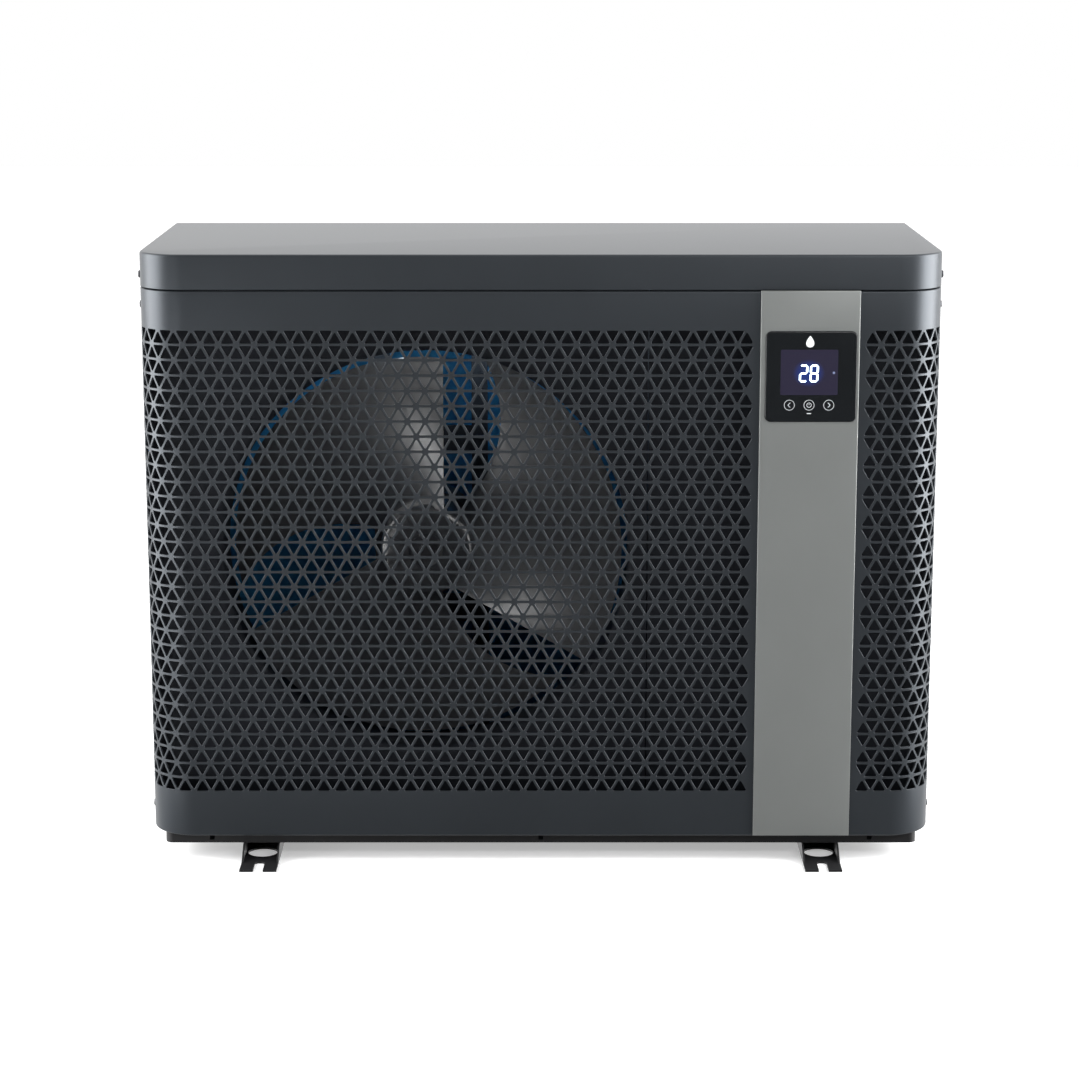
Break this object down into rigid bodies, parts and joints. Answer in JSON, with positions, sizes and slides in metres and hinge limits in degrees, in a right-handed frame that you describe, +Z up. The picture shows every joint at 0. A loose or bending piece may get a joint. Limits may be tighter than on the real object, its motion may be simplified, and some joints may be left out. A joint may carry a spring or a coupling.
{
  "type": "pool heat pump unit",
  "caption": "Air-to-water heat pump cabinet with a perforated wrap-round front, axial fan, L-shaped finned coil, grey control strip with a lit display, rear water unions and two foot rails.",
  "frame": {"origin": "on the ground plane, under the centre of the cabinet", "axes": "+Z up, the front grille and display face -Y, +X is to the right seen from the front"},
  "size_m": [1.0523, 0.524, 0.812],
  "materials": {
    "panel_paint": "satin anthracite powder coat",
    "strip_metal": "satin metallic grey",
    "black_steel": "satin black",
    "screw_steel": "blackened steel",
    "glass_black": "gloss black",
    "plastic_black": "fine grain",
    "lcd_blue": "lit display",
    "circuit_board": "solder mask",
    "fan_plastic": "moulded, semi gloss",
    "zinc_sheet": "dark coated sheet",
    "machine_black": "gloss black paint",
    "fin_blue": "blue hydrophilic fin coating",
    "copper": "drawn copper",
    "brass": "machined brass",
    "drier_paint": "green paint",
    "coil_plastic": "moulded coil",
    "pvc_grey": "moulded PVC",
    "titanium": "drawn titanium",
    "rubber": "matt",
    "sink_metal": "extruded",
    "guard_wire": "coated wire",
    "shaft_steel": "ground steel"
  },
  "bodies": {
    "housing": {"lid": "panel_paint", "left_side_panel": "panel_paint", "right_side_panel": "panel_paint", "rear_panel": "panel_paint", "rear_post": "panel_paint", "front_grille": "panel_paint", "corner_grille_left": "panel_paint", "corner_grille_right": "panel_paint", "access_cover": "panel_paint", "control_strip": "strip_metal", "base_pan": "black_steel", "foot_rail_right": "black_steel", "foot_rail_left": "black_steel", "screws": "screw_steel", "foot_fasteners": "screw_steel", "compressor_studs": "screw_steel", "hmi_glass": "glass_black", "hmi_housing": "plastic_black", "side_grip_right": "plastic_black", "side_grip_left": "plastic_black", "cable_glands": "plastic_black", "terminal_block": "plastic_black", "terminal_cover": "plastic_black", "drain_spigot": "plastic_black", "lcd_module": "lcd_blue", "hmi_board": "circuit_board", "inverter_board": "circuit_board", "shroud_plate": "zinc_sheet", "partition": "zinc_sheet", "motor_bracket": "zinc_sheet", "coil_end_plates": "zinc_sheet", "electrical_box": "zinc_sheet", "electrical_cover": "zinc_sheet", "fan_motor": "machine_black", "compressor": "machine_black", "accumulator": "machine_black", "evaporator_fins": "fin_blue", "coil_return_bends": "copper", "coil_headers": "copper", "refrigerant_lines": "copper", "four_way_valve": "brass", "expansion_valve": "brass", "filter_drier": "drier_paint", "valve_coils": "coil_plastic", "exchanger_shell": "pvc_grey", "exchanger_caps": "pvc_grey", "water_inlet": "pvc_grey", "water_outlet": "pvc_grey", "flow_switch": "pvc_grey", "titanium_coil": "titanium", "compressor_grommets": "rubber", "heat_sink": "sink_metal", "left_coil_guard": "guard_wire", "rear_coil_guard": "guard_wire"},
    "fan": {"fan_impeller": "fan_plastic", "motor_shaft": "shaft_steel", "hub_nut": "screw_steel"},
    "inlet_nut": {"union_nut_inlet": "pvc_grey"},
    "outlet_nut": {"union_nut_outlet": "pvc_grey"},
    "paddle": {"flow_paddle": "pvc_grey"}
  },
  "joints": [
    {"name": "fan_spin", "type": "hinge", "parent": "housing", "child": "fan", "pos_m": [-0.153, -0.09, 0.406], "axis": [0, -1, 0], "continuous": true},
    {"name": "inlet_nut_turn", "type": "hinge", "parent": "housing", "child": "inlet_nut", "pos_m": [0.424, 0.23, 0.13], "axis": [0, 1, 0], "continuous": true},
    {"name": "outlet_nut_turn", "type": "hinge", "parent": "housing", "child": "outlet_nut", "pos_m": [0.424, 0.23, 0.47], "axis": [0, 1, 0], "continuous": true},
    {"name": "flow_paddle_swing", "type": "hinge", "parent": "housing", "child": "paddle", "pos_m": [0.424, 0.201, 0.149], "axis": [1, 0, 0], "range_deg": [-20, 0], "stiffness_Nm_per_rad": 0.002}
  ]
}
